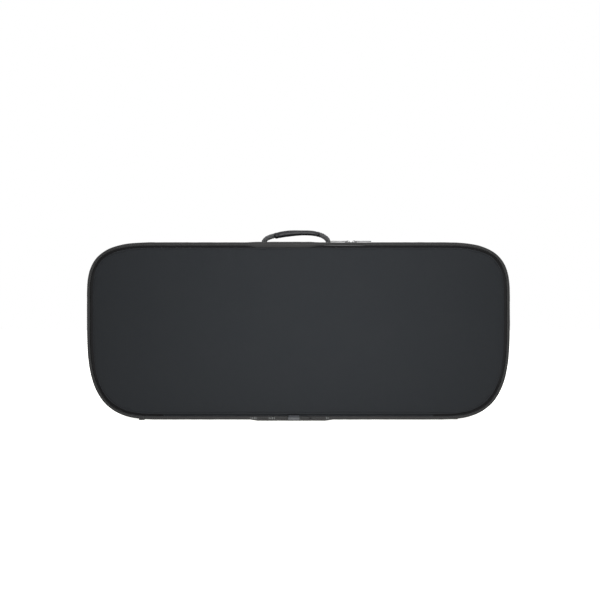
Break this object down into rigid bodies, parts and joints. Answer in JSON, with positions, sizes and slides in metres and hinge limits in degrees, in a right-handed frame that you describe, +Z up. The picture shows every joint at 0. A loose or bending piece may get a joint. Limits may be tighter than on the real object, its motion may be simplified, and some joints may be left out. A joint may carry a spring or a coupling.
{
  "type": "lipo safe bag",
  "caption": "Padded zip-round oblong case with a fire-resistant lining, padded dividers, a fold-down front lid and an arched carry handle; it stands on its long edge.",
  "frame": {"origin": "on the surface the case stands on, under the centre of its outline and of its depth", "axes": "+X to the right along the case's length seen from the front, +Y from the front lid to the back panel, +Z up; the front lid faces -Y"},
  "size_m": [0.74, 0.136, 0.3384],
  "materials": {
    "cover_fabric": "woven polyester face over foam, matte, near black with a slight blue cast",
    "binding": "ribbed grosgrain binding tape, folded over the seams and stitched",
    "foam": "closed-cell foam sheet",
    "board": "matte",
    "liner": "fire-resistant coated glass cloth, fine weave, dull silver",
    "padded_liner": "the same coated cloth, quilted over foam",
    "webbing": "woven nylon webbing",
    "elastic": "ribbed elastic tape",
    "mesh": "open knitted mesh",
    "gusset": "unpadded cover cloth",
    "grip": "smooth moulded soft plastic sleeve, satin",
    "zip_tape": "woven zip tape",
    "zip_coil": "satin",
    "zip_metal": "satin",
    "clip": "matte",
    "wear_strip": "matte"
  },
  "bodies": {
    "base": {"side_cover": "cover_fabric", "side_liner": "liner", "side_board": "board", "bottom_board": "board", "side_padding": "foam", "bottom_padding": "foam", "rear_panel_cover": "cover_fabric", "rear_panel_padding": "foam", "rear_panel_board": "board", "rear_liner": "liner", "rear_binding": "binding", "hinge_binding": "binding", "hinge_strip": "cover_fabric", "binding_joint_clip": "clip", "bottom_wear_strip": "wear_strip", "zip_coil_base": "zip_coil", "zip_tape_base": "zip_tape", "zip_end_tab_left": "zip_tape", "zip_end_tab_right": "zip_tape", "handle_anchor_left": "webbing", "handle_anchor_right": "webbing", "divider_left": "padded_liner", "divider_centre": "padded_liner", "divider_right": "padded_liner", "side_gusset_left": "gusset", "side_gusset_right": "gusset"},
    "lid": {"front_panel_cover": "cover_fabric", "front_panel_padding": "foam", "front_panel_board": "board", "lid_liner": "liner", "lid_rim_cover": "cover_fabric", "lid_rim_padding": "foam", "lid_rim_liner": "liner", "front_binding": "binding", "zip_coil_lid": "zip_coil", "zip_tape_lid": "zip_tape", "lid_pocket_mesh": "mesh", "lid_pocket_hem": "elastic"},
    "handle": {"handle_grip": "grip", "handle_strap_left": "webbing", "handle_strap_right": "webbing"},
    "zip_slider_left": {"zip_slider_left": "zip_metal"},
    "zip_slider_right": {"zip_slider_right": "zip_metal"},
    "zip_puller_left": {"zip_puller_left": "zip_metal"},
    "zip_puller_right": {"zip_puller_right": "zip_metal"}
  },
  "joints": [
    {"name": "lid_hinge", "type": "hinge", "parent": "base", "child": "lid", "pos_m": [0, -0.06, 0.009], "axis": [1, 0, 0], "range_deg": [0, 90]},
    {"name": "handle_swing", "type": "hinge", "parent": "base", "child": "handle", "pos_m": [0, 0, 0.318], "axis": [1, 0, 0], "range_deg": [-45, 45]},
    {"name": "slider_left_travel", "type": "slide", "parent": "base", "child": "zip_slider_left", "axis": [1, 0, 0], "range_m": [-0.322, 0]},
    {"name": "slider_right_travel", "type": "slide", "parent": "base", "child": "zip_slider_right", "axis": [1, 0, 0], "range_m": [0, 0.138]},
    {"name": "puller_left_flip", "type": "hinge", "parent": "zip_slider_left", "child": "zip_puller_left", "pos_m": [0.087, -0.035, 0.3157], "axis": [0, 1, 0], "range_deg": [0, 90]},
    {"name": "puller_right_flip", "type": "hinge", "parent": "zip_slider_right", "child": "zip_puller_right", "pos_m": [0.0984, -0.035, 0.3157], "axis": [0, -1, 0], "range_deg": [0, 90]}
  ]
}
